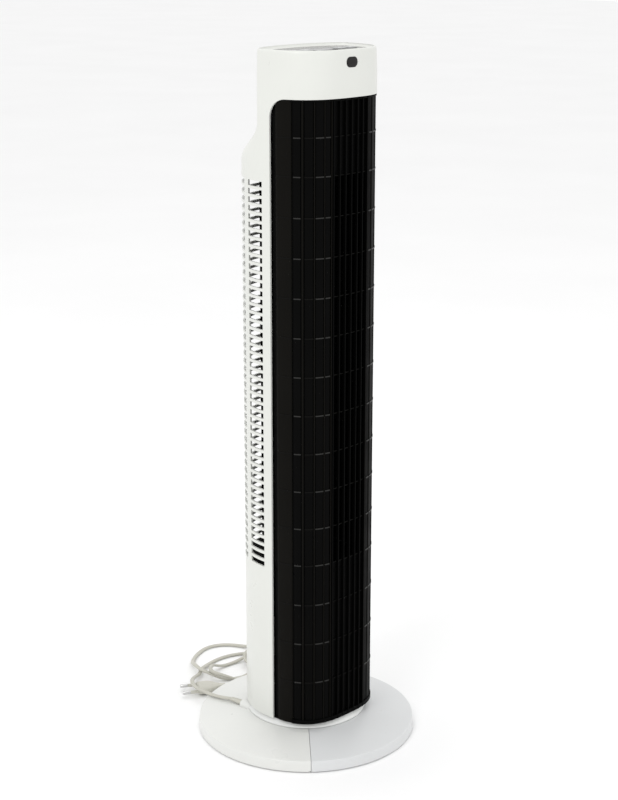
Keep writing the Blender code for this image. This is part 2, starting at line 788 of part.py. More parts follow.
# ---------------------------------------------------------------- mains lead
def mains_lead():
    start = GLAND_START
    direction = (Vector(LEAD_ROUTE[0]) - start).normalized()
    gland = turned(
        "cord_gland",
        ((0.0, 0.0192), (0.0032, 0.0192), (0.0040, 0.0), (0.0, 0.0)),
        "cord_sheath",
        steps=16,
        closed=False,
    )
    gland.matrix_world = along(start, Vector(LEAD_ROUTE[0]))
    tip = start + direction * 0.0202
    tube("cord_lead", (tuple(tip), *LEAD_ROUTE[1:]), CORD_RADIUS, "cord_sheath")
    inner, outer = COIL_RADII
    coil = turned(
        "cord_coil",
        (
            (inner, COIL_HEIGHT - 0.003),
            (inner + 0.003, COIL_HEIGHT),
            (outer - 0.003, COIL_HEIGHT),
            (outer, COIL_HEIGHT - 0.003),
            (outer, 0.0034),
            (outer - 0.003, 0.0004),
            (inner + 0.003, 0.0004),
            (inner, 0.0034),
        ),
        "cord_sheath",
        steps=32,
    )
    coil.location = (*COIL_CENTRE, 0.0)
    tube("cord_tail", TAIL_ROUTE, CORD_RADIUS, "cord_sheath")
    plug()


def plug():
    direction = PLUG_DIRECTION.normalized()
    place = along(PLUG_TAIL + direction * GAP, PLUG_TAIL + direction)
    body = turned(
        "plug_body",
        (
            (0.0, PLUG_LENGTH),
            (0.0075, PLUG_LENGTH),
            (0.0082, PLUG_LENGTH - 0.002),
            (0.0082, 0.0160),
            (0.0046, 0.0080),
            (0.0034, 0.0),
            (0.0, 0.0),
        ),
        "cord_sheath",
        steps=20,
        closed=False,
    )
    body.matrix_world = place @ Matrix.Diagonal((*PLUG_FLATTENING, 1.0, 1.0))
    for i, side in enumerate((-1, 1)):
        low = PLUG_LENGTH + GAP
        pin = cylinder(f"plug_pin_{i + 1}", 0.0020, low, low + PIN_LENGTH, "steel", sides=16)
        stand_on(pin, place @ Matrix.Translation((side * PIN_SPACING / 2, 0, 0)))


def build():
    start_scene()
    base_halves()
    turntable()
    feet()
    gears()
    bottom_plate()
    front_skins()
    rear_housing()
    blower_plates()
    air_walls()
    impeller()
    motor()
    swing_motor()
    head()
    mains_lead()


build()
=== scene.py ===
"""Visual model of the tower fan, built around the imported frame.

The tower's front faces -Y at rest, Z is up, and lengths are in metres.
"""

import json
import math

import bmesh
import bpy
import numpy as np
from mathutils import Matrix, Vector


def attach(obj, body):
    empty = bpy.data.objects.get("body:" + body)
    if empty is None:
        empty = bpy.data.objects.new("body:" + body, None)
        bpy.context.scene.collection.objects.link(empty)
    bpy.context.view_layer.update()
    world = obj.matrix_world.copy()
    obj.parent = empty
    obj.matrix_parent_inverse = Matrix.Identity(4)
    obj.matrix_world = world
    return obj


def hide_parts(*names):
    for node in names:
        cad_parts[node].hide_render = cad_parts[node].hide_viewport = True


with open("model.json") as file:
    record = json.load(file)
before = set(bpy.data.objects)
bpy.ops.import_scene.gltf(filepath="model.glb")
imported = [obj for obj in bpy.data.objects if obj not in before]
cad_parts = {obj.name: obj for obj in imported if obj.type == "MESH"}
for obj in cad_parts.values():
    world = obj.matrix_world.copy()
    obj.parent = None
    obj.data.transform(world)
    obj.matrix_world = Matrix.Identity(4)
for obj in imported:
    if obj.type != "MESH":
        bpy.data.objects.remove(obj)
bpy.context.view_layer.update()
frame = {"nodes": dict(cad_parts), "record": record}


# ---------------------------------------------------------------- sizes of the tower
GAP = 0.0004
HEIGHT = 0.747
BODY_BOTTOM = 0.032
HALF_WIDTH = 0.065
FRONT_DEPTH = 0.065
FRONT_POWER = 2.9
REAR_DEPTH = 0.067
NECK_DEPTH = 0.024
SHOULDER = (0.632, 0.675)
SKIN = 0.0022
LIP_WIDTH = 0.0011
TOP_TAPER = {
    # height: how much smaller the plan is than lower down
    0.7200: 0.003,
    0.7380: 0.009,
    0.7440: 0.013,
    0.7455: 0.017,
    0.7464: 0.024,
    0.7469: 0.034,
    HEIGHT: 0.046,
}
SLOT_PITCH = 0.00863
SLOT_HEIGHT = 0.0057
SLOT_COUNT = 48
SLOT_TOP = 0.6165
SIDE_SLOT_X = (0.0545, 0.080)
SIDE_SLOT_Y = (-0.0018, 0.0215)
REAR_SLOT_Y = (0.0305, 0.080)
REAR_SLOTS_X = ((-0.0575, -0.0290), (-0.0262, -0.0014), (0.0014, 0.0262), (0.0290, 0.0575))
SENSOR = (-0.0006, 0.7344)
SENSOR_HOLE = (0.0160, 0.0104, 0.0049)  # width, height and corner radius
SENSOR_PANE = (0.0156, 0.0100, 0.0047)
BUTTON_Y = -0.024
BUTTONS = {
    "button_power": -0.040,
    "button_speed": -0.024,
    "button_timer": 0.024,
    "button_swing": 0.040,
}
BUTTON_SIZE = 0.0116
BUTTON_CORNER = 0.0027
BUTTON_HOLE_CORNER = 0.0030
DISPLAY_HOLE = (0.0304, 0.0164, 0.0020)
PANEL_FACE = (0.7420, 0.7440)
PANEL_CUT = (0.735, 0.75)


# ---------------------------------------------------------------- sizes of the grille
GRILLE_SIDE_Y = -0.0128
GRILLE_TOP = 0.700
GRILLE_CORNER = 0.019
GRILLE_HEIGHTS = (BODY_BOTTOM + 0.0005, 0.71)  # the upper end is cut off by the round corners
OUTLET = (0.2148, 0.6243)
ROWS = [0.6629] + [0.6243 - 0.04096 * i for i in range(11)] + [0.1702, 0.1256, 0.0810]
RIBS = [-0.0245, -0.0165, -0.0085, 0.0, 0.0085, 0.0165, 0.0245]
RIB_HALF = 0.0007
RIB_CHAMFER = 0.00022
BANDS = [(0.0282, 0.0337), (0.0357, 0.0437), (0.0459, 0.0526)]
OUTER_BAND = (0.0552, 0.0590)
BAND_CHAMFER = 0.0003
FINE_RIBS = [0.0266, 0.0347, 0.0448, 0.0540]
FINE_RIB_HALF = 0.0006
FINE_RIB_CHAMFER = 0.0002
# Where a strip round a corner begins, in x on the front, and ends, in y on the side.
SIDE_WALL = (OUTER_BAND[1], GRILLE_SIDE_Y - GAP)
SIDE_BAND = (0.0600, -0.0195)
SIDE_CROSSBAR = (0.0602, -0.0205)
WALL = (0.0270, 0.0640)
CLOSED_WALL_HALF = 0.0272
FRAME_HALF = 0.0602
FRAME_FOOT = 0.0052
FRAME_HEAD = 0.0022
CROSSBAR_HALF = 0.0006
BAY_CROSSBAR_HALF = 0.0004
# The grille's layers: how deep the face and the back of each lie under the front curve.
RIB_DEPTHS = (0.0, 0.0034)
FINE_RIB_DEPTHS = (0.0008, 0.0030)
BAND_DEPTHS = (0.0014, 0.0032)
SIDE_BAND_DEPTHS = (0.0012, 0.0032)
CROSSBAR_DEPTHS = (0.0008, 0.0015)
SIDE_CROSSBAR_DEPTHS = (0.0009, 0.0013)
BAY_CROSSBAR_DEPTHS = (0.0018, 0.0034)
WALL_DEPTHS = (0.0034, 0.0048)
SIDE_WALL_DEPTHS = (0.0032, 0.0048)
CLOSED_WALL_DEPTHS = (0.0030, 0.0048)
FRAME_DEPTHS = (0.0004, 0.0050)


# ---------------------------------------------------------------- sizes of the blower
DRUM_CENTRE = (0.0, 0.012)
DRUM_HEIGHTS = (0.2100, 0.6220)
DRUM_RADIUS = 0.0400
DISC_COUNT = 6
DISC_THICKNESS = 0.0018
END_DISC_HOLE = 0.0048
RING_HOLE = 0.0294
BLADE_COUNT = 30
BLADE_RADII = (0.0302, 0.0394)
BLADE_HALF = 0.00035
BLADE_LEAD = 0.17  # radians from a blade's root to its outer edge
BLADE_INSET = 0.0012  # how far the blades stop inside the drum's ends
TONGUE_HEIGHTS = (0.2064, 0.6256)
TONGUE_HALF = 0.0008
TONGUE_ROUTE = (
    (-0.0500, -0.0130),
    (-0.0440, -0.0146),
    (-0.0380, -0.0156),
    (-0.0330, -0.0163),
    (-0.0296, -0.0176),
    (-0.0284, -0.0204),
    (-0.0294, -0.0270),
    (-0.0316, -0.0360),
    (-0.0344, -0.0460),
    (-0.0375, -0.0560),
)


# ---------------------------------------------------------------- sizes of the base
BASE_RADIUS = 0.120
BASE_RIM = 0.0129
BASE_TOP = 0.024
BASE_TURN = math.radians(-43.0)
SEAM_HALF = 0.00022
SEAM_NOTCH = ((-0.0016, -0.122, -0.001), (0.0016, -0.1178, 0.0022))
GROOVE_WIDTH = 0.0092
COLLAR_RADIUS = 0.0655
COLLAR_TOP = 0.0312
RACE_HEIGHT = 0.0270


# ---------------------------------------------------------------- the mains lead's sizes and route
CORD_WIDTH = 0.0048
CORD_THICKNESS = 0.0029
CORD_STEP = 0.0037  # between the middles of one turn and the turn that lies on it
CORD_ON_FLOOR = 0.0018  # the height of its middle line there
POINT_SPACING = 0.0020
GLAND_START = Vector((-0.0509, 0.0470, 0.0242))
GLAND_AHEAD = (Vector((-0.0515, 0.0665, 0.0237)) - GLAND_START).normalized()
GLAND_LENGTH = 0.0200
LEAD_ROUTE = (
    (-0.0520, 0.0760, 0.0218),
    (-0.0519, 0.0841, 0.0200),
    (-0.0512, 0.0940, 0.0181),
    (-0.0496, 0.1046, 0.0163),
    (-0.0486, 0.1110, 0.0156),
    (-0.0486, 0.1170, 0.0153),
    (-0.0480, 0.1230, 0.0148),
    (-0.0467, 0.1300, 0.0141),
    (-0.0443, 0.1376, 0.0135),
    (-0.0403, 0.1456, 0.0128),
    (-0.0343, 0.1531, 0.0116),
    (-0.0275, 0.1595, 0.0096),
    (-0.0195, 0.1651, 0.0074),
    (-0.0085, 0.1708, 0.0048),
)
FIRST_ARC = (
    (0.0010, 0.1765, 0.0028),
    (0.0100, 0.1825, 0.0018),
    (0.0220, 0.1880, 0.0016),
    (0.0350, 0.1912, 0.0016),
    (0.0480, 0.1918, 0.0016),
    (0.0620, 0.1890, 0.0016),
    (0.0740, 0.1830, 0.0016),
)
TURNS = (
    # turn, centre x, centre y, half width, half depth
    (0.42, 0.0460, 0.1620, 0.0420, 0.0300),
    (0.75, 0.0460, 0.1620, 0.0420, 0.0300),
    (1.00, 0.0440, 0.1680, 0.0465, 0.0400),
    (1.12, 0.0500, 0.1740, 0.0510, 0.0460),
    (1.25, 0.0550, 0.1780, 0.0480, 0.0485),
    (1.38, 0.0500, 0.1780, 0.0460, 0.0480),
    (1.50, 0.0460, 0.1760, 0.0460, 0.0480),
    (1.75, 0.0450, 0.1700, 0.0460, 0.0440),
    (2.00, 0.0380, 0.1500, 0.0400, 0.0300),
    (2.25, 0.0360, 0.1440, 0.0400, 0.0280),
    (2.50, 0.0650, 0.1420, 0.0330, 0.0280),
    (2.75, 0.0750, 0.1410, 0.0275, 0.0268),
    (3.25, 0.0775, 0.1410, 0.0282, 0.0275),
    (3.75, 0.0775, 0.1410, 0.0237, 0.0232),
    (4.25, 0.0775, 0.1410, 0.0235, 0.0230),
    (4.75, 0.0775, 0.1405, 0.0200, 0.0195),
    (5.25, 0.0775, 0.1400, 0.0200, 0.0195),
    (5.70, 0.0770, 0.1395, 0.0225, 0.0210),
)
TAIL_ROUTE = (
    (0.0680, 0.1165, 0.0016),
    (0.0520, 0.1180, 0.0016),
    (0.0360, 0.1220, 0.0016),
    (0.0210, 0.1256, 0.0016),
    (0.0090, 0.1258, 0.0024),
    (0.0010, 0.1240, 0.0042),
    (-0.0030, 0.1238, 0.0056),
)
PLUG_TAIL = Vector((-0.0066, 0.1250, 0.0060))
PLUG_AHEAD = Vector((-0.849, 0.529, 0.0)).normalized()
PLUG_LENGTH = 0.033
PIN_LENGTH = 0.019
PIN_SPACING = 0.019
PIN_RADIUS = 0.0020
SLEEVE_LENGTH = 0.0194
SLEEVE_ROOT = (0.0078, 0.0066)  # width and height
SLEEVE_TIP = (0.0058, 0.0044)
SLEEVE_GROOVE = (0.0011, 0.0009)
# Round profiles: (distance from the plug's face, radius).
PIN_PROFILE = (
    (0.0096, PIN_RADIUS - 0.0003),
    (0.0097, PIN_RADIUS),
    (PIN_LENGTH - 0.0012, PIN_RADIUS),
    (PIN_LENGTH - 0.0004, PIN_RADIUS - 0.0004),
    (PIN_LENGTH - 0.00005, PIN_RADIUS - 0.0013),
)
PIN_SLEEVE_PROFILE = (
    (-0.00035, PIN_RADIUS - 0.00025),
    (0.0, PIN_RADIUS - 0.0001),
    (0.0090, PIN_RADIUS - 0.00015),
    (0.0094, PIN_RADIUS - 0.0003),
    (0.0095, PIN_RADIUS - 0.0005),
)
# Shapes along the lead: (distance, width, height).
PLUG_SHAPE = (
    (0.0000, 0.0062, 0.0044),
    (0.0030, 0.0066, 0.0047),
    (0.0070, 0.0086, 0.0056),
    (0.0110, 0.0128, 0.0072),
    (0.0150, 0.0182, 0.0090),
    (0.0190, 0.0218, 0.0100),
    (0.0230, 0.0236, 0.0104),
    (0.0270, 0.0240, 0.0104),
    (0.0310, 0.0236, 0.0102),
    (PLUG_LENGTH - 0.0004, 0.0228, 0.0094),
    (PLUG_LENGTH, 0.0216, 0.0082),
)
HOOD_SHAPE = (
    (-0.0140, 0.0126, 0.0106),
    (-0.0030, 0.0126, 0.0106),
    (0.0, 0.0122, 0.0103),
    (0.0014, 0.0114, 0.0096),
    (0.0021, 0.0102, 0.0086),
)


# ---------------------------------------------------------------- materials
class Nodes:
    """Builds one procedural material, node by node."""

    def __init__(self, name):
        self.material = bpy.data.materials.new(name)
        self.material.use_nodes = True
        self.tree = self.material.node_tree
        self.shader = self.tree.nodes["Principled BSDF"]
        self.place = self.add("ShaderNodeTexCoord").outputs["Object"]

    def add(self, kind, **settings):
        node = self.tree.nodes.new(kind)
        for name, value in settings.items():
            setattr(node, name, value)
        return node

    def link(self, source, target):
        self.tree.links.new(source, target)

    def feed(self, socket, value):
        """Gives a socket another node's output, a colour or a number."""
        if isinstance(value, bpy.types.NodeSocket):
            self.link(value, socket)
        elif isinstance(value, tuple):
            socket.default_value = (*value, 1.0)
        else:
            socket.default_value = value

    def noise(self, scale, detail=4.0, stretch=None):
        """Noise in the object's own space, perhaps stretched by (scale, rotation)."""
        node = self.add("ShaderNodeTexNoise")
        node.inputs["Scale"].default_value = scale
        node.inputs["Detail"].default_value = detail
        node.inputs["Roughness"].default_value = 0.55
        if stretch is None:
            self.link(self.place, node.inputs["Vector"])
        else:
            mapping = self.add("ShaderNodeMapping")
            mapping.inputs["Scale"].default_value = stretch[0]
            mapping.inputs["Rotation"].default_value = stretch[1]
            self.link(self.place, mapping.inputs["Vector"])
            self.link(mapping.outputs["Vector"], node.inputs["Vector"])
        return node.outputs["Fac"]

    def ramp(self, source, *stops):
        """Stops of (position, value or colour)."""
        node = self.add("ShaderNodeValToRGB")
        while len(node.color_ramp.elements) < len(stops):
            node.color_ramp.elements.new(0.5)
        for element, (position, value) in zip(node.color_ramp.elements, stops):
            element.position = position
            colour = (value, value, value) if isinstance(value, float) else value
            element.color = (*colour, 1.0)
        self.link(source, node.inputs["Fac"])
        return node.outputs["Color"]

    def mix(self, factor, first, second):
        node = self.add("ShaderNodeMix", data_type="RGBA")
        sockets = (node.inputs[0], node.inputs[6], node.inputs[7])
        for socket, value in zip(sockets, (factor, first, second)):
            self.feed(socket, value)
        return node.outputs[2]

    def maths(self, operation, first, second):
        node = self.add("ShaderNodeMath", operation=operation)
        for socket, value in zip(node.inputs, (first, second)):
            self.feed(socket, value)
        return node.outputs[0]

    def bump(self, height, strength, distance):
        node = self.add("ShaderNodeBump")
        node.inputs["Strength"].default_value = strength
        node.inputs["Distance"].default_value = distance
        self.link(height, node.inputs["Height"])
        self.link(node.outputs["Normal"], self.shader.inputs["Normal"])

    def set(self, **values):
        """Gives the shader its values and returns the finished material."""
        for name, value in values.items():
            self.feed(self.shader.inputs[name.replace("_", " ")], value)
        return self.material


def moulded(name, colour, roughness, variation, grain=900.0, grain_strength=0.12, specular=0.5):
    """Moulded plastic: a faint blotchiness, uneven gloss and a fine surface grain."""
    n = Nodes(name)
    dark = tuple(c * (1 - variation) for c in colour)
    light = tuple(min(1.0, c * (1 + variation)) for c in colour)
    tint = n.ramp(n.noise(14.0), (0.3, dark), (0.7, light))
    gloss = n.ramp(n.noise(45.0), (0.3, roughness * 0.88), (0.7, roughness * 1.14))
    n.bump(n.noise(grain, 3.0), grain_strength, 0.00006)
    return n.set(Base_Color=tint, Roughness=gloss, Specular_IOR_Level=specular)


def worn_white(name, colour, marks):
    """White plastic with handling marks: grey specks, rubbed streaks and fine scratches."""
    n = Nodes(name)
    dark = tuple(c * 0.965 for c in colour)
    base = n.ramp(n.noise(9.0, 5.0), (0.32, dark), (0.68, colour))
    specks = n.ramp(n.noise(210.0, 2.0), (0.735, 0.0), (0.79, 1.0))
    patches = n.ramp(n.noise(13.0, 2.0), (0.5, 0.0), (0.62, 1.0))
    streaks = n.noise(26.0, 3.0, ((1.0, 14.0, 3.0), (0.0, 0.35, 0.6)))
    streaks = n.ramp(streaks, (0.70, 0.0), (0.76, 1.0))
    dirt = n.maths("MULTIPLY", specks, patches)
    dirt = n.maths("MAXIMUM", dirt, n.maths("MULTIPLY", streaks, patches))
    base = n.mix(n.maths("MULTIPLY", dirt, marks), base, (0.33, 0.31, 0.27))
    gloss = n.ramp(n.noise(30.0, 4.0), (0.3, 0.27), (0.7, 0.36))
    rubbed = n.maths("MULTIPLY", streaks, 0.25)
    n.bump(n.noise(700.0, 2.0), 0.06, 0.00005)
    return n.set(Base_Color=base, Roughness=n.maths("ADD", gloss, rubbed), Specular_IOR_Level=0.5)


def metal(name, colour, roughness):
    """Plated or drawn steel, with faint lines round or along it."""
    n = Nodes(name)
    lines = n.noise(420.0, 3.0, ((1.0, 1.0, 0.08), (0.0, 0.0, 0.0)))
    tint = n.ramp(n.noise(60.0), (0.3, tuple(c * 0.88 for c in colour)), (0.7, colour))
    n.bump(lines, 0.15, 0.00005)
    gloss = n.ramp(lines, (0.3, roughness * 0.8), (0.7, roughness * 1.3))
    return n.set(Base_Color=tint, Metallic=1.0, Roughness=gloss)


def make_materials():
    """Every material in the scene, by the short name that pieces use."""
    return {
        "white": worn_white("housing_white", (0.705, 0.714, 0.677), 0.30),
        # The shell's rounded edges are painted much lighter than the housing: a painted highlight.
        "lip": moulded("housing_edge_highlight", (0.88, 0.885, 0.86), 0.25, 0.01),
        # The base is one white plastic; its right half is painted darker and bluer than its left as
        # painted shade.
        "base_left": worn_white("base_white_lit", (0.725, 0.731, 0.706), 0.75),
        "base_right": worn_white("base_white_shaded", (0.665, 0.675, 0.678), 0.75),
        "black": moulded("grille_black", (0.0016, 0.0016, 0.0015), 0.42, 0.16, 1100.0, 0.25, 0.030),
        "band": moulded("grille_band", (0.0042, 0.0038, 0.0030), 0.42, 0.12, 1100.0, 0.30, 0.042),
        # Both crossbar colours are the grille's black painted lighter as painted highlight, the first
        # one more.
        "bar": moulded("grille_bar_strong_highlight", (0.0120, 0.0116, 0.0105), 0.34, 0.12, 1100.0, 0.25, 0.30),
        "bar_dim": moulded("grille_bar_faint_highlight", (0.0036, 0.0034, 0.0030), 0.42, 0.12, 1100.0, 0.25, 0.06),
        "inner_black": moulded("inner_black", (0.0012, 0.0012, 0.0012), 0.60, 0.15, specular=0.025),
        "panel": moulded("panel_grey", (0.185, 0.18, 0.175), 0.24, 0.05, 1300.0, 0.05),
        "lens": moulded("lens_dark", (0.0045, 0.0035, 0.0032), 0.12, 0.1, 60.0, 0.01, 0.3),
        "button": moulded("button_grey", (0.405, 0.41, 0.405), 0.36, 0.04, 1500.0, 0.2),
        "mark": moulded("button_mark", (0.86, 0.87, 0.86), 0.4, 0.03),
        "collar": moulded("collar_white", (0.735, 0.745, 0.73), 0.34, 0.04),
        "nylon": moulded("nylon_natural", (0.66, 0.63, 0.53), 0.42, 0.06),
        "rubber": moulded("rubber_black", (0.018, 0.018, 0.018), 0.85, 0.2, 600.0, 0.6),
        "board": moulded("board_green", (0.02, 0.11, 0.035), 0.4, 0.2, 300.0, 0.3),
        "cord": moulded("cord_ivory", (0.50, 0.49, 0.43), 0.40, 0.06, 500.0, 0.12),
        "plug": moulded("plug_ivory", (0.55, 0.54, 0.48), 0.44, 0.06, 900.0, 0.2),
        "steel": metal("steel_bright", (0.62, 0.62, 0.61), 0.25),
        "motor": metal("motor_steel", (0.20, 0.20, 0.21), 0.42),
    }


# ---------------------------------------------------------------- mesh helpers
def linked(name, data):
    obj = bpy.data.objects.new(name, data)
    bpy.context.scene.collection.objects.link(obj)
    return obj


def raw_object(name, bm):
    """An object without a material or a body yet, such as one that cuts another."""
    mesh = bpy.data.meshes.new(name)
    bmesh.ops.recalc_face_normals(bm, faces=bm.faces)
    bm.to_mesh(mesh)
    bm.free()
    return linked(name, mesh)


def new_object(name, bm, material, body, replaced=(), angle=35.0):
    """A finished piece that rides on a body and takes the place of the named CAD nodes."""
    obj = raw_object(name, bm)
    paint(obj, material)
    finish_piece(obj, body, replaced, angle)
    return obj


def paint(obj, material):
    obj.data.materials.clear()
    obj.data.materials.append(MATERIALS[material])


def finish_piece(obj, body, replaced, angle):
    """Shades a piece smooth up to an angle, and puts it on its body."""
    obj.data.shade_smooth()
    obj.data.set_sharp_from_angle(angle=math.radians(angle))
    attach(obj, body)
    if replaced:
        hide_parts(*replaced)


def cut(obj, other):
    """Takes the other object's volume away, once the modifiers are applied."""
    modifier = obj.modifiers.new("difference", "BOOLEAN")
    modifier.operation = "DIFFERENCE"
    modifier.object = other
    modifier.solver = "EXACT"


def bevel(obj, width, segments):
    """Rounds every edge that turns by more than 50 degrees."""
    modifier = obj.modifiers.new("edges", "BEVEL")
    modifier.width = width
    modifier.segments = segments
    modifier.limit_method = "ANGLE"
    modifier.angle_limit = math.radians(50.0)
    modifier.harden_normals = False
    return modifier


def apply_modifiers(obj):
    """Turns an object's modifiers into its mesh, and removes the objects that cut it."""
    bpy.context.view_layer.update()
    graph = bpy.context.evaluated_depsgraph_get()
    mesh = bpy.data.meshes.new_from_object(obj.evaluated_get(graph))
    others = [m.object for m in obj.modifiers if m.type == "BOOLEAN"]
    obj.modifiers.clear()
    obj.data = mesh
    for other in others:
        bpy.data.objects.remove(other, do_unlink=True)


def add_sides(bm, rings):
    """Faces from each ring of vertices to the next one."""
    for a, b in zip(rings, rings[1:]):
        for i in range(len(a)):
            j = (i + 1) % len(a)
            bm.faces.new((a[i], a[j], b[j], b[i]))


def add_skin(bm, rings):
    """Faces from ring to ring and over both ends."""
    add_sides(bm, rings)
    bm.faces.new(rings[0])
    bm.faces.new(rings[-1])


def add_box(bm, low, high):
    size = Vector(high) - Vector(low)
    place = Matrix.Translation((Vector(low) + Vector(high)) / 2)
    bmesh.ops.create_cube(bm, size=1.0, matrix=place @ Matrix.Diagonal((*size, 1.0)))


def add_lathe(bm, profile, steps, centre=(0.0, 0.0)):
    """A closed profile of (radius, height) turned all round."""
    rings = []
    for step in range(steps):
        t = math.tau * step / steps
        c, s = math.cos(t), math.sin(t)
        rings.append([bm.verts.new((centre[0] + r * c, centre[1] + r * s, z)) for r, z in profile])
    add_sides(bm, [*rings, rings[0]])


def add_prism(bm, outline, low, high):
    """A plain outline between two heights."""
    add_skin(bm, [[bm.verts.new((x, y, z)) for x, y in outline] for z in (low, high)])


def add_loft(bm, place, sections):
    """Skin over outlines of (x, y) at distances along a matrix's Z."""
    rows = []
    for z, outline in sections:
        rows.append([bm.verts.new(place @ Vector((x, y, z))) for x, y in outline])
    add_skin(bm, rows)


def add_round(bm, place, profile):
    """A round bar along a matrix's Z, from (distance, radius)."""
    add_loft(bm, place, [(z, oval(2 * radius, 2 * radius, 24)) for z, radius in profile])


def rounded(width, length, radius, centre, steps=8):
    """The outline of a rectangle with round corners."""
    points = []
    for corner in range(4):
        turn = corner * math.pi / 2
        cx = (width / 2 - radius) * (1 if corner in (0, 3) else -1)
        cy = (length / 2 - radius) * (1 if corner in (0, 1) else -1)
        for step in range(steps + 1):
            t = turn + step * math.pi / 2 / steps
            x = centre[0] + cx + radius * math.cos(t)
            points.append((x, centre[1] + cy + radius * math.sin(t)))
    return points


def rounded_profile(points, radius, steps):
    """A closed (radius, height) profile with its corners rounded."""
    out = []
    count = len(points)
    for i in range(count):
        before = Vector(points[i - 1])
        here = Vector(points[i])
        after = Vector(points[(i + 1) % count])
        reach = min(radius, (before - here).length * 0.45, (after - here).length * 0.45)
        start = here + (before - here).normalized() * reach
        end = here + (after - here).normalized() * reach
        for step in range(steps + 1):
            t = step / steps
            out.append(tuple((1 - t) ** 2 * start + 2 * t * (1 - t) * here + t * t * end))
    return out


def oval(width, height, count=28):
    turns = [math.tau * i / count for i in range(count)]
    return [(width / 2 * math.cos(t), height / 2 * math.sin(t)) for t in turns]


def standing_along(start, ahead):
    """The matrix whose origin is at start and whose Z points ahead."""
    across = Vector((0.0, 0.0, 1.0)).cross(ahead).normalized()
    turn = Matrix((across, ahead.cross(across), ahead)).transposed()
    return Matrix.Translation(start) @ turn.to_4x4()


# ---------------------------------------------------------------- the tower's plan
def front_y(x):
    """Where the front curve lies at a place across the tower."""
    return -FRONT_DEPTH * (1 - min(1.0, abs(x / HALF_WIDTH)) ** FRONT_POWER) ** (1 / FRONT_POWER)


def front_point(t):
    """The front curve by a turn from the left side (0) through the front to the right (pi)."""
    c, s = math.cos(t), math.sin(t)
    power = 2 / FRONT_POWER
    x = -HALF_WIDTH * math.copysign(abs(c) ** power, c)
    return (x, -FRONT_DEPTH * abs(s) ** power)


def normal_in(x):
    """The direction into the tower, at a place on the front."""
    if abs(x) > HALF_WIDTH - 0.0012:
        return Vector((-math.copysign(1.0, x), 0.0))
    e = 0.00005
    slope = (front_y(x + e) - front_y(x - e)) / (2 * e)
    return Vector((-slope, 1.0)).normalized()


def front_at(x, depth):
    """A point on the front at x, moved into the tower."""
    return Vector((x, front_y(x))) + normal_in(x) * depth


def rear_depth(z):
    """How far back the tower reaches at a height: an S-curve below the head."""
    low, high = SHOULDER
    t = min(1.0, max(0.0, (z - low) / (high - low))) ** 1.12
    step = t * t * (3 - 2 * t)
    return REAR_DEPTH + (NECK_DEPTH - REAR_DEPTH) * step


def plan_loop(depth):
    """The tower's plan, all round: the front curve and a half oval behind it."""
    front_steps, rear_steps = 72, 48
    turns = [math.pi * i / front_steps for i in range(front_steps + 1)]
    loop = [front_point(t) for t in turns]
    for i in range(1, rear_steps):
        t = math.pi * i / rear_steps
        loop.append((HALF_WIDTH * math.cos(t), depth * math.sin(t)))
    return loop


# ---------------------------------------------------------------- housing
def housing_shell():
    """The white shell: front and rear housings as the closed skin that they make."""
    low, high = SHOULDER
    heights = [BODY_BOTTOM, 0.10, 0.20, 0.40, 0.60, low - 0.004]
    heights += [low + (high - low) * i / 20 for i in range(21)]
    heights += [0.70, *TOP_TAPER]
    bm = bmesh.new()
    rows = []
    for z in heights:
        shrink = 1.0 - TOP_TAPER.get(z, 0.0)
        rows.append([bm.verts.new((x * shrink, y * shrink, z)) for x, y in plan_loop(rear_depth(z))])
    add_sides(bm, rows)
    shell = raw_object("housing_shell", bm)
    for material in ("white", "lip"):
        shell.data.materials.append(MATERIALS[material])
    thickness = shell.modifiers.new("thickness", "SOLIDIFY")
    thickness.thickness = SKIN
    thickness.offset = -1.0
    thickness.use_even_offset = True
    cut(shell, grille_cutter())
    # The rounded edges take the second material, painted lighter as a painted highlight.
    bevel(shell, LIP_WIDTH, 3).material = 1
    cut(shell, intake_cutter())
    cut(shell, sensor_cutter())
    apply_modifiers(shell)
    finish_piece(shell, "tower", ("front_housing", "rear_housing"), 38.0)


def grille_cutter():
    """The front opening, as a block through the front, with round upper corners."""
    far = 0.1
    centre = (GRILLE_SIDE_Y - GRILLE_CORNER, GRILLE_TOP - GRILLE_CORNER)
    outline = [(-far, -far), (GRILLE_SIDE_Y, -far)]
    for step in range(13):
        t = math.pi / 2 * step / 12
        y = centre[0] + GRILLE_CORNER * math.cos(t)
        outline.append((y, centre[1] + GRILLE_CORNER * math.sin(t)))
    outline.append((-far, GRILLE_TOP))
    bm = bmesh.new()
    add_skin(bm, [[bm.verts.new((x, y, z)) for y, z in outline] for x in (-0.09, 0.09)])
    return raw_object("grille_cutter", bm)


def intake_cutter():
    """A box for each slot, at both sides and round the back."""
    bm = bmesh.new()
    for slot in range(SLOT_COUNT):
        top = SLOT_TOP - slot * SLOT_PITCH
        low = top - SLOT_HEIGHT
        for side in (-1, 1):
            left, right = sorted(side * x for x in SIDE_SLOT_X)
            add_box(bm, (left, SIDE_SLOT_Y[0], low), (right, SIDE_SLOT_Y[1], top))
        for left, right in REAR_SLOTS_X:
            add_box(bm, (left, REAR_SLOT_Y[0], low), (right, REAR_SLOT_Y[1], top))
    return raw_object("intake_cutter", bm)


def sensor_cutter():
    """The sensor's hole through the front of the head."""
    outline = rounded(*SENSOR_HOLE, SENSOR)
    bm = bmesh.new()
    add_skin(bm, [[bm.verts.new((x, y, z)) for x, z in outline] for y in (-0.080, -0.050)])
    return raw_object("sensor_cutter", bm)


def sensor_window():
    """A smoked window with a slightly crowned face, set in the head."""
    width, height, corner = SENSOR_PANE
    bm = bmesh.new()
    rings = []
    for inset, y in ((0.0, -0.0632), (0.0, -0.0646), (0.0005, -0.06485), (0.0022, -0.0650)):
        outline = rounded(width - 2 * inset, height - 2 * inset, corner - inset, SENSOR)
        rings.append([bm.verts.new((x, y, z)) for x, z in outline])
    add_skin(bm, rings)
    new_object("sensor_pane", bm, "lens", "tower", ("sensor_window",))


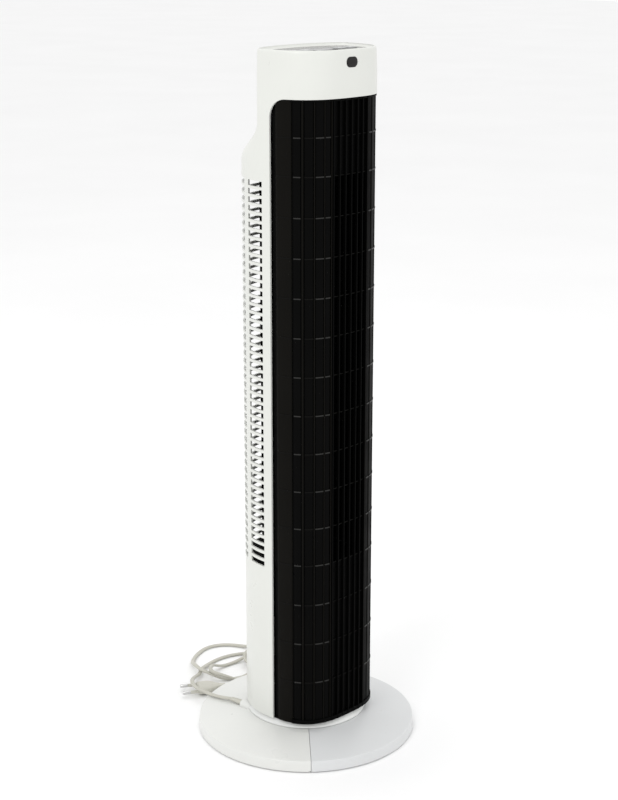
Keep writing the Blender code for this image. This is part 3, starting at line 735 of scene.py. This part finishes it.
# ---------------------------------------------------------------- grille
def corner_top(y):
    """How high the grille reaches at a place on its plan: its upper corners are round."""
    radius = GRILLE_CORNER - GAP
    centre = GRILLE_SIDE_Y - GRILLE_CORNER
    if y < centre:
        return GRILLE_TOP - GAP
    across = min(1.0, (y - centre) / radius)
    return GRILLE_TOP - GRILLE_CORNER + radius * math.sqrt(max(0.0, 1 - across * across))


def add_strip(bm, fronts, backs, low, tops):
    """A strip of wall between a front line and a back line, with its own top at each point."""
    rows = []
    for front, back, top in zip(fronts, backs, tops):
        row = [(*front, low), (*back, low), (*back, top), (*front, top)]
        rows.append([bm.verts.new(point) for point in row])
    add_skin(bm, rows)


def front_strip(bm, ends, depths, heights, chamfer=0.0, steps=None):
    """A strip of the grille between two places in x, at two depths under the front curve."""
    left, right = sorted(ends)
    if steps is None:
        steps = max(2, int((right - left) / 0.0014))
    xs = [left + (right - left) * i / steps for i in range(steps + 1)]
    faces = [depths[0]] * len(xs)
    if chamfer:
        xs = sorted([left, left + chamfer, *xs[1:-1], right - chamfer, right])
        faces = [depths[0] + chamfer] + [depths[0]] * (len(xs) - 2) + [depths[0] + chamfer]
    fronts = [front_at(x, depth) for x, depth in zip(xs, faces)]
    backs = [front_at(x, depths[1]) for x in xs]
    tops = [min(heights[1], corner_top(front_y(x))) for x in xs]
    add_strip(bm, fronts, backs, heights[0], tops)


def side_strip(bm, side, ends, depths, heights):
    """A strip round a corner, from an x on the front to a y on the side."""
    steps = 14
    start = math.acos((ends[0] / HALF_WIDTH) ** (FRONT_POWER / 2))
    end = math.asin((-ends[1] / FRONT_DEPTH) ** (FRONT_POWER / 2))
    points = [front_point(start + (end - start) * i / steps) for i in range(steps + 1)]
    fronts, backs, tops = [], [], []
    for i, (x, y) in enumerate(points):
        near = Vector(points[max(0, i - 1)])
        far = Vector(points[min(steps, i + 1)])
        along = (far - near).normalized()
        inward = Vector((along.y, -along.x))
        if inward.dot(Vector((-x, -y))) < 0:
            inward = -inward
        lip = 0.0007 if i in (0, steps) else 0.0
        place = Vector((x, y))
        fronts.append(place + inward * (depths[0] + lip))
        backs.append(place + inward * depths[1])
        tops.append(min(heights[1], corner_top(y)))
    if side > 0:
        fronts = [Vector((-p.x, p.y)) for p in fronts]
        backs = [Vector((-p.x, p.y)) for p in backs]
    add_strip(bm, fronts, backs, heights[0], tops)


def grille_ribs():
    """The upright ribs and the plain bands beside them, with the wall behind and the frame."""
    bm = bmesh.new()
    for x in RIBS:
        front_strip(bm, (x - RIB_HALF, x + RIB_HALF), RIB_DEPTHS, GRILLE_HEIGHTS, RIB_CHAMFER, 2)
    for side in (-1, 1):
        for near, far in (*BANDS, OUTER_BAND):
            front_strip(bm, (side * near, side * far), BAND_DEPTHS, GRILLE_HEIGHTS, BAND_CHAMFER)
        front_strip(bm, (side * WALL[0], side * WALL[1]), WALL_DEPTHS, GRILLE_HEIGHTS)
        side_strip(bm, side, SIDE_WALL, SIDE_WALL_DEPTHS, GRILLE_HEIGHTS)
    low, high = GRILLE_HEIGHTS
    for heights in ((low, OUTLET[0]), (OUTLET[1], high)):
        front_strip(bm, (-CLOSED_WALL_HALF, CLOSED_WALL_HALF), CLOSED_WALL_DEPTHS, heights)
    for heights in ((low, BODY_BOTTOM + FRAME_FOOT), (GRILLE_TOP - FRAME_HEAD, GRILLE_TOP - GAP)):
        front_strip(bm, (-FRAME_HALF, FRAME_HALF), FRAME_DEPTHS, heights)
    new_object("grille_ribs", bm, "black", "tower", ("front_grille",), 30.0)


def grille_side_bands():
    """The fine ribs between the bands, and the wide bands that turn the corners."""
    bm = bmesh.new()
    for side in (-1, 1):
        for x in FINE_RIBS:
            ends = (side * x - FINE_RIB_HALF, side * x + FINE_RIB_HALF)
            front_strip(bm, ends, FINE_RIB_DEPTHS, GRILLE_HEIGHTS, FINE_RIB_CHAMFER, 2)
        side_strip(bm, side, SIDE_BAND, SIDE_BAND_DEPTHS, GRILLE_HEIGHTS)
    new_object("grille_side_bands", bm, "band", "tower", (), 30.0)


def grille_crossbars():
    """The thin crossbars, painted lighter than the grille's black as painted highlight: some stretches
    strongly, the others less.
    """
    bright, dim = bmesh.new(), bmesh.new()
    for row in ROWS:
        heights = (row - CROSSBAR_HALF, row + CROSSBAR_HALF)
        bay_heights = (row - BAY_CROSSBAR_HALF, row + BAY_CROSSBAR_HALF)
        for side in (-1, 1):
            side_strip(dim, side, SIDE_CROSSBAR, SIDE_CROSSBAR_DEPTHS, heights)
            for bm, (near, far) in zip((bright, bright, dim, bright), (*BANDS, OUTER_BAND)):
                front_strip(bm, (side * near, side * far), CROSSBAR_DEPTHS, heights)
        for left, right in zip(RIBS, RIBS[1:]):
            ends = (left + RIB_HALF + 0.0002, right - RIB_HALF - 0.0002)
            front_strip(dim, ends, BAY_CROSSBAR_DEPTHS, bay_heights)
    new_object("grille_crossbars", bright, "bar", "tower", (), 30.0)
    new_object("grille_crossbars_dim", dim, "bar_dim", "tower", (), 30.0)


# ---------------------------------------------------------------- blower
def blade_outline(blade):
    """A curved blade in plan: out along one face and back along the other.

    Both faces lie off its middle line, mostly by a turn and a little by radius.
    """
    inner, outer = BLADE_RADII
    outline = []
    for half in (BLADE_HALF, -BLADE_HALF):
        face = []
        for step in range(7):
            s = step / 6
            radius = inner + (outer - inner) * s + half * 0.6
            t = math.tau * blade / BLADE_COUNT + BLADE_LEAD * s * s - half / radius
            x = DRUM_CENTRE[0] + radius * math.cos(t)
            face.append((x, DRUM_CENTRE[1] + radius * math.sin(t)))
        outline += face if half > 0 else face[::-1]
    return outline


def rotor():
    """The blower's drum: thin curved blades between two end discs and four rings."""
    low, high = DRUM_HEIGHTS
    bm = bmesh.new()
    for blade in range(BLADE_COUNT):
        add_prism(bm, blade_outline(blade), low + BLADE_INSET, high - BLADE_INSET)
    for disc in range(DISC_COUNT):
        bottom = low + (high - low - DISC_THICKNESS) * disc / (DISC_COUNT - 1)
        top = bottom + DISC_THICKNESS
        hole = END_DISC_HOLE if disc in (0, DISC_COUNT - 1) else RING_HOLE
        edge = DRUM_RADIUS - 0.0002
        rim = ((edge, bottom), (DRUM_RADIUS, (bottom + top) / 2), (edge, top))
        add_lathe(bm, [(hole, bottom), *rim, (hole, top)], 72, DRUM_CENTRE)
    new_object("rotor", bm, "inner_black", "impeller", ("impeller",), 30.0)


def tongue():
    """The blower's tongue: a thin bent wall whose nose comes close to the drum."""
    line = smooth_line([(x, y, 0.0) for x, y in TONGUE_ROUTE], 0.0016)
    outline = []
    for half in (TONGUE_HALF, -TONGUE_HALF):
        face = []
        for i, place in enumerate(line):
            ahead = line[min(len(line) - 1, i + 1)] - line[max(0, i - 1)]
            ahead /= np.linalg.norm(ahead)
            face.append((place[0] - half * ahead[1], place[1] + half * ahead[0]))
        outline += face if half > 0 else face[::-1]
    bm = bmesh.new()
    add_prism(bm, outline, *TONGUE_HEIGHTS)
    new_object("blower_tongue", bm, "inner_black", "tower", ("vortex_tongue",), 40.0)


# ---------------------------------------------------------------- base
def base_halves():
    """The two halves of the base, with the thin seam between them and its notch in front; the right
    half is painted darker as painted shade.
    """
    profile = rounded_profile(
        (
            (0.0400, BASE_TOP - 0.0026),
            (0.0400, BASE_TOP),
            (0.0660, BASE_TOP),
            (0.1190, BASE_RIM),
            (BASE_RADIUS, 0.0010),
            (0.1020, 0.0010),
            (0.1020, 0.0034),
            (0.1165, 0.0034),
            (0.1160, 0.0104),
            (0.0650, BASE_TOP - 0.0026),
        ),
        0.0009,
        4,
    )
    seam = Matrix.Rotation(BASE_TURN, 4, "Z")
    for name, side in (("base_left", -1), ("base_right", 1)):
        bm = bmesh.new()
        add_lathe(bm, profile, 192)
        half = raw_object(f"{name}_shell", bm)
        block = bmesh.new()
        reach = 0.15
        bmesh.ops.create_cube(block, size=2 * reach)
        other = raw_object(f"{name}_cutter", block)
        other.matrix_world = seam @ Matrix.Translation((-side * (reach - SEAM_HALF), 0.0, 0.0))
        cut(half, other)
        if side < 0:
            notch = bmesh.new()
            add_box(notch, *SEAM_NOTCH)
            notch = raw_object("seam_notch", notch)
            notch.matrix_world = seam
            cut(half, notch)
            cut(half, lead_groove())
        apply_modifiers(half)
        # The right half's colour holds painted shade.
        paint(half, name)
        finish_piece(half, "base", (name,), 30.0)


def lead_groove():
    """The round groove in the base under the lead's sleeve."""
    bm = bmesh.new()
    rows = [(z, oval(GROOVE_WIDTH, GROOVE_WIDTH, 32)) for z in (-0.0015, 0.026)]
    add_loft(bm, standing_along(GLAND_START, GLAND_AHEAD), rows)
    return raw_object("lead_groove", bm)


def collar():
    """The turntable's collar, with its hub and the race that the tower slides on."""
    profile = rounded_profile(
        (
            (0.010, 0.0350),
            (0.018, 0.0350),
            (0.018, RACE_HEIGHT),
            (0.0570, RACE_HEIGHT),
            (0.0570, COLLAR_TOP),
            (0.0612, COLLAR_TOP),
            (COLLAR_RADIUS, 0.0264),
            (COLLAR_RADIUS, BASE_TOP + GAP),
            (0.0396, BASE_TOP + GAP),
            (0.0396, 0.0050),
            (0.0370, 0.0050),
            (0.0370, 0.0210),
            (0.010, 0.0210),
        ),
        0.0008,
        3,
    )
    bm = bmesh.new()
    add_lathe(bm, profile, 160)
    new_object("collar_turned", bm, "collar", "base", ("turntable_collar",), 30.0)


# ---------------------------------------------------------------- head's top
def inset_loop(loop, distance):
    """A loop moved inward by a distance."""
    moved = []
    count = len(loop)
    for i in range(count):
        before, after = Vector(loop[i - 1]), Vector(loop[(i + 1) % count])
        along = (after - before).normalized()
        moved.append(Vector(loop[i]) + Vector((-along.y, along.x)) * distance)
    return moved


def panel_frame(loop):
    """The sloping sides from the head's rim down to the panel's floor."""
    levels = (
        (SKIN + 0.0004, 0.7412),
        (SKIN + 0.0004, 0.7456),
        (SKIN + 0.0010, 0.7460),
        (SKIN + 0.0030, 0.7440),
        (SKIN + 0.0034, 0.7438),
        (SKIN + 0.0034, 0.7412),
    )
    bm = bmesh.new()
    rings = []
    for inset, z in levels:
        rings.append([bm.verts.new((p.x, p.y, z)) for p in inset_loop(loop, inset)])
    add_sides(bm, [*rings, rings[0]])
    new_object("panel_frame", bm, "white", "tower", (), 40.0)


def panel_face(loop):
    """The panel's flat floor, with the openings for the buttons and the display."""
    bm = bmesh.new()
    add_prism(bm, [tuple(p) for p in inset_loop(loop, SKIN + 0.0037)], *PANEL_FACE)
    panel = raw_object("panel_face", bm)
    openings = bmesh.new()
    hole = BUTTON_SIZE + 2 * GAP
    for x in BUTTONS.values():
        add_prism(openings, rounded(hole, hole, BUTTON_HOLE_CORNER, (x, BUTTON_Y)), *PANEL_CUT)
    add_prism(openings, rounded(*DISPLAY_HOLE, (0.0, BUTTON_Y)), *PANEL_CUT)
    cut(panel, raw_object("panel_cutter", openings))
    bevel(panel, 0.00025, 2)
    apply_modifiers(panel)
    paint(panel, "panel")
    finish_piece(panel, "tower", ("top_panel",), 35.0)


def top_panel():
    """The recessed panel in the head, inside its rim."""
    loop = plan_loop(NECK_DEPTH)
    panel_frame(loop)
    panel_face(loop)


def buttons():
    """Four caps with a soft crown, each with a small ring printed on it."""
    levels = ((0.0, 0.7416), (0.0, 0.7449), (0.0003, 0.74525), (0.0010, 0.7454), (0.0030, 0.74525))
    for name, x in BUTTONS.items():
        bm = bmesh.new()
        rings = []
        for inset, z in levels:
            size = BUTTON_SIZE - 2 * inset
            outline = rounded(size, size, max(0.0006, BUTTON_CORNER - inset), (x, BUTTON_Y))
            rings.append([bm.verts.new((px, py, z)) for px, py in outline])
        add_skin(bm, rings)
        new_object(f"{name}_cap", bm, "button", name, (name,), 40.0)
        mark = bmesh.new()
        ring = [(0.0011, 0.74522), (0.0011, 0.74536), (0.0015, 0.74536), (0.0015, 0.74522)]
        add_lathe(mark, ring, 32, (x, BUTTON_Y))
        new_object(f"{name}_mark", mark, "mark", name)


# ---------------------------------------------------------------- mains lead
def smooth_line(points, spacing):
    """Points at an even spacing on a smooth curve through the given ones."""
    points = [np.array(p, dtype=float) for p in points]
    ends = [2 * points[0] - points[1], *points, 2 * points[-1] - points[-2]]
    line = []
    for before, start, end, after in zip(ends, ends[1:], ends[2:], ends[3:]):
        for t in np.linspace(0, 1, 16, endpoint=False):
            a = 2 * start + t * (end - before)
            b = t * t * (2 * before - 5 * start + 4 * end - after)
            c = t**3 * (3 * start - before - 3 * end + after)
            line.append(0.5 * (a + b + c))
    line.append(points[-1])
    return even(np.array(line), spacing)


def even(line, spacing):
    """The same line with its points at an even spacing."""
    steps = np.linalg.norm(np.diff(line, axis=0), axis=1)
    run = np.concatenate(([0.0], np.cumsum(steps)))
    count = max(2, int(round(run[-1] / spacing)) + 1)
    places = np.linspace(0, run[-1], count)
    return np.stack([np.interp(places, run, line[:, k]) for k in range(3)], axis=1)


def softened(values, reach):
    """A running mean along the first axis, with bell-shaped weights; the ends stay."""
    weights = np.exp(-0.5 * (np.arange(-reach, reach + 1) / (reach / 2.2)) ** 2)
    weights /= weights.sum()
    padded = np.concatenate(
        [2 * values[:1] - values[reach:0:-1], values, 2 * values[-1:] - values[-2 : -reach - 2 : -1]]
    )
    return np.apply_along_axis(lambda column: np.convolve(column, weights, "valid"), 0, padded)


def cord_plan():
    """The cord's route as it would lie alone, and how many points the raised lead takes up."""
    lead = [np.array(GLAND_START) + np.array(GLAND_AHEAD) * GLAND_LENGTH]
    lead += [np.array(p) for p in LEAD_ROUTE]
    points = [*lead, *(np.array(p) for p in FIRST_ARC)]
    keys = np.array(TURNS)
    for at in np.arange(keys[0, 0], keys[-1, 0] + 0.001, 0.04):
        x, y, w, d = (np.interp(at, keys[:, 0], keys[:, k]) for k in range(1, 5))
        t = math.pi - math.tau * at
        points.append(np.array((x + w * math.cos(t), y + d * math.sin(t), CORD_ON_FLOOR)))
    points += [np.array(p) for p in TAIL_ROUTE]
    points.append(np.array(PLUG_TAIL))
    line = smooth_line(points, POINT_SPACING)
    line[:, :2] = softened(line[:, :2], 7)
    return line, len(smooth_line(lead, POINT_SPACING))


def laid(line, raised):
    """Lifts the cord in low humps wherever it crosses an earlier turn."""
    neighbours = 9  # points so near along the cord are not a crossing
    reach = 10
    flat = line[:, :2]
    apart = np.linalg.norm(flat[:, None, :] - flat[None, :, :], axis=2)
    index = np.arange(len(line))
    crossed = (index[:, None] - index[None, :] > neighbours) & (apart < CORD_WIDTH * 1.04)
    alone = np.maximum(line[:, 2], CORD_THICKNESS / 2 + 0.0001)
    height = alone.copy()
    fade_in = np.clip((index - raised) / 8, 0.0, 1.0)
    fade_out = np.clip((len(line) - 1 - index) / 10, 0.0, 1.0)
    for _ in range(8):
        need = np.maximum(alone, np.where(crossed, height[None, :] + CORD_STEP, 0.0).max(axis=1))
        spread = np.array([need[max(0, i - reach) : i + reach + 1].max() for i in index])
        lifted = softened(spread[:, None], reach)[:, 0]
        height = alone + (np.maximum(lifted, alone) - alone) * (fade_in * fade_out)
    return np.column_stack((flat, height))


def cord_section():
    """Across a flat two-core lead: two round cores side by side with a shallow groove."""
    core = CORD_THICKNESS / 2
    offset = CORD_WIDTH / 2 - core
    points = []
    for side in (1, -1):
        for step in range(9):
            t = (-math.pi / 2 + math.pi * step / 8) * 0.93
            x = offset + core * math.cos(t)
            points.append((side * x, side * core * math.sin(t)))
    return points


def sweep(bm, line, section):
    """A closed tube of one section along a line, kept level."""
    rows = []
    count = len(line)
    side = None
    for i in range(count):
        ahead = Vector(line[min(count - 1, i + 1)] - line[max(0, i - 1)]).normalized()
        level = Vector((0, 0, 1)).cross(ahead)
        side = level.normalized() if level.length > 0.2 else side
        up = ahead.cross(side)
        rows.append([bm.verts.new(Vector(line[i]) + side * a + up * b) for a, b in section])
    add_skin(bm, rows)


def mains_lead():
    """The lead from its hood to the plug, with its sleeve, the plug and the pins."""
    line = laid(*cord_plan())
    bm = bmesh.new()
    sweep(bm, line, cord_section())
    cord = new_object("mains_lead", bm, "cord", "base", ("cord_lead", "cord_coil", "cord_tail"), 60.0)
    pieces = [strain_relief(), *plug()]


def strain_relief():
    """A tapered sleeve with flexing grooves, where the lead leaves the hood."""
    steps = 32
    sections = [(-0.0012, oval(*SLEEVE_ROOT))]
    for i in range(steps + 1):
        t = i / steps
        grooved = i % 4 in (1, 2) and 4 < i < steps - 2
        size = []
        for root, tip, groove in zip(SLEEVE_ROOT, SLEEVE_TIP, SLEEVE_GROOVE):
            size.append(root - (root - tip) * t - (groove if grooved else 0.0))
        sections.append((SLEEVE_LENGTH * t, oval(*size)))
    bm = bmesh.new()
    add_loft(bm, standing_along(GLAND_START, GLAND_AHEAD), sections)
    return new_object("strain_relief", bm, "plug", "base", ("cord_gland",), 30.0)


def cord_hood():
    """A low rounded hood on the base, from the collar to the root of the sleeve."""
    bm = bmesh.new()
    rows = [(z, oval(width, height, 40)) for z, width, height in HOOD_SHAPE]
    add_loft(bm, standing_along(GLAND_START, GLAND_AHEAD), rows)
    new_object("cord_hood", bm, "base_left", "base", (), 40.0)


def squarish(width, height):
    """An outline between an oval and a rectangle."""
    outline = []
    for i in range(40):
        t = math.tau * i / 40
        c, s = math.cos(t), math.sin(t)
        x = math.copysign(abs(c) ** 0.72, c) * width / 2
        outline.append((x, math.copysign(abs(s) ** 0.72, s) * height / 2))
    return outline


def plug():
    """A flat moulded two-pin plug, and its two pins with their insulating sleeves."""
    place = standing_along(PLUG_TAIL + PLUG_AHEAD * GAP, PLUG_AHEAD)
    bm = bmesh.new()
    add_loft(bm, place, [(z, squarish(width, height)) for z, width, height in PLUG_SHAPE])
    pieces = [new_object("plug_moulding", bm, "plug", "base", ("plug_body",), 50.0)]
    for number, side in ((1, -1), (2, 1)):
        root = Matrix.Translation((side * PIN_SPACING / 2, 0.0, PLUG_LENGTH + GAP))
        bm = bmesh.new()
        add_round(bm, place @ root, PIN_PROFILE)
        pieces.append(new_object(f"pin_{number}", bm, "steel", "base", (f"plug_pin_{number}",), 40.0))
        bm = bmesh.new()
        add_round(bm, place @ root, PIN_SLEEVE_PROFILE)
        pieces.append(new_object(f"pin_sleeve_{number}", bm, "plug", "base", (), 40.0))
    return pieces


# ---------------------------------------------------------------- the other pieces
def repaint():
    """Gives each CAD piece that still shows its material; the bottom plate is painted black as painted
    shade, since it lies in the dark.
    """
    by_slot = {
        "housing_white": "white",
        "base_white": "base_left",
        "grille_black": "inner_black",
        "panel_grey": "panel",
        "lens_dark": "lens",
        "button_grey": "button",
        "collar_grey": "collar",
        "nylon_natural": "nylon",
        "rubber_black": "rubber",
        "board_green": "board",
        "cord_ivory": "cord",
        "motor_steel": "motor",
        "steel_bright": "steel",
    }
    slots = {entry["node"]: entry["material_slot"] for entry in frame["record"]["subparts"]}
    for name, obj in frame["nodes"].items():
        # The bottom plate gets the black as painted shade.
        paint(obj, "inner_black" if name == "bottom_plate" else by_slot[slots[name]])


# ---------------------------------------------------------------- studio
def camera():
    """The view that the object is shown from, a little above it and from its front left."""
    data = bpy.data.cameras.new("camera")
    data.sensor_width = 36.0
    data.lens = 77.14
    data.clip_end = 50.0
    obj = linked("camera", data)
    pitch = math.radians(15.843)
    flat = Vector((0.7157, 0.6984, 0.0)).normalized() * math.cos(pitch)
    turn = Vector((flat.x, flat.y, -math.sin(pitch))).to_track_quat("-Z", "Y")
    obj.matrix_world = Matrix.Translation((-1.2548, -1.2291, 0.8747)) @ turn.to_matrix().to_4x4()
    bpy.context.scene.camera = obj


def area_light(name, place, target, size, power):
    """A white rectangular light that points at a target."""
    data = bpy.data.lights.new(name, "AREA")
    data.shape = "RECTANGLE"
    data.size, data.size_y = size
    data.energy = power
    obj = linked(name, data)
    obj.location = place
    direction = Vector(target) - Vector(place)
    obj.rotation_euler = direction.to_track_quat("-Z", "Y").to_euler()


def studio_floor():
    """A wide pale floor that fills the whole view."""
    reach = 14.0
    bm = bmesh.new()
    corners = [(-reach, -reach, 0.0), (reach, -reach, 0.0), (reach, reach, 0.0), (-reach, reach, 0.0)]
    bm.faces.new([bm.verts.new(p) for p in corners])
    mesh = bpy.data.meshes.new("floor")
    bm.to_mesh(mesh)
    bm.free()
    floor = linked("floor", mesh)
    floor.location.z = -0.0001
    n = Nodes("floor")
    tint = n.ramp(n.noise(2.0), (0.3, 0.915), (0.7, 0.935))
    mesh.materials.append(n.set(Base_Color=tint, Roughness=0.9, Specular_IOR_Level=0.1))


def studio():
    """A white surround, three soft lights and plain colours."""
    studio_floor()
    world = bpy.data.worlds.new("studio")
    world.use_nodes = True
    background = world.node_tree.nodes["Background"]
    background.inputs["Color"].default_value = (1.0, 1.0, 1.0, 1.0)
    background.inputs["Strength"].default_value = 1.0
    bpy.context.scene.world = world
    area_light("key", (-2.2, -0.6, 2.2), (0.0, 0.0, 0.40), (1.2, 1.6), 17.0)
    area_light("fill", (0.4, -2.6, 1.5), (0.0, 0.0, 0.35), (1.4, 1.4), 5.0)
    area_light("top", (0.3, 0.6, 2.6), (0.0, 0.0, 0.3), (1.5, 1.5), 6.0)
    bpy.context.scene.view_settings.view_transform = "Standard"
    bpy.context.scene.view_settings.look = "None"


# ---------------------------------------------------------------- the scene
MATERIALS = make_materials()
camera()
mains_lead()
cord_hood()
repaint()
housing_shell()
sensor_window()
grille_ribs()
grille_side_bands()
grille_crossbars()
rotor()
tongue()
base_halves()
collar()
top_panel()
buttons()
studio()
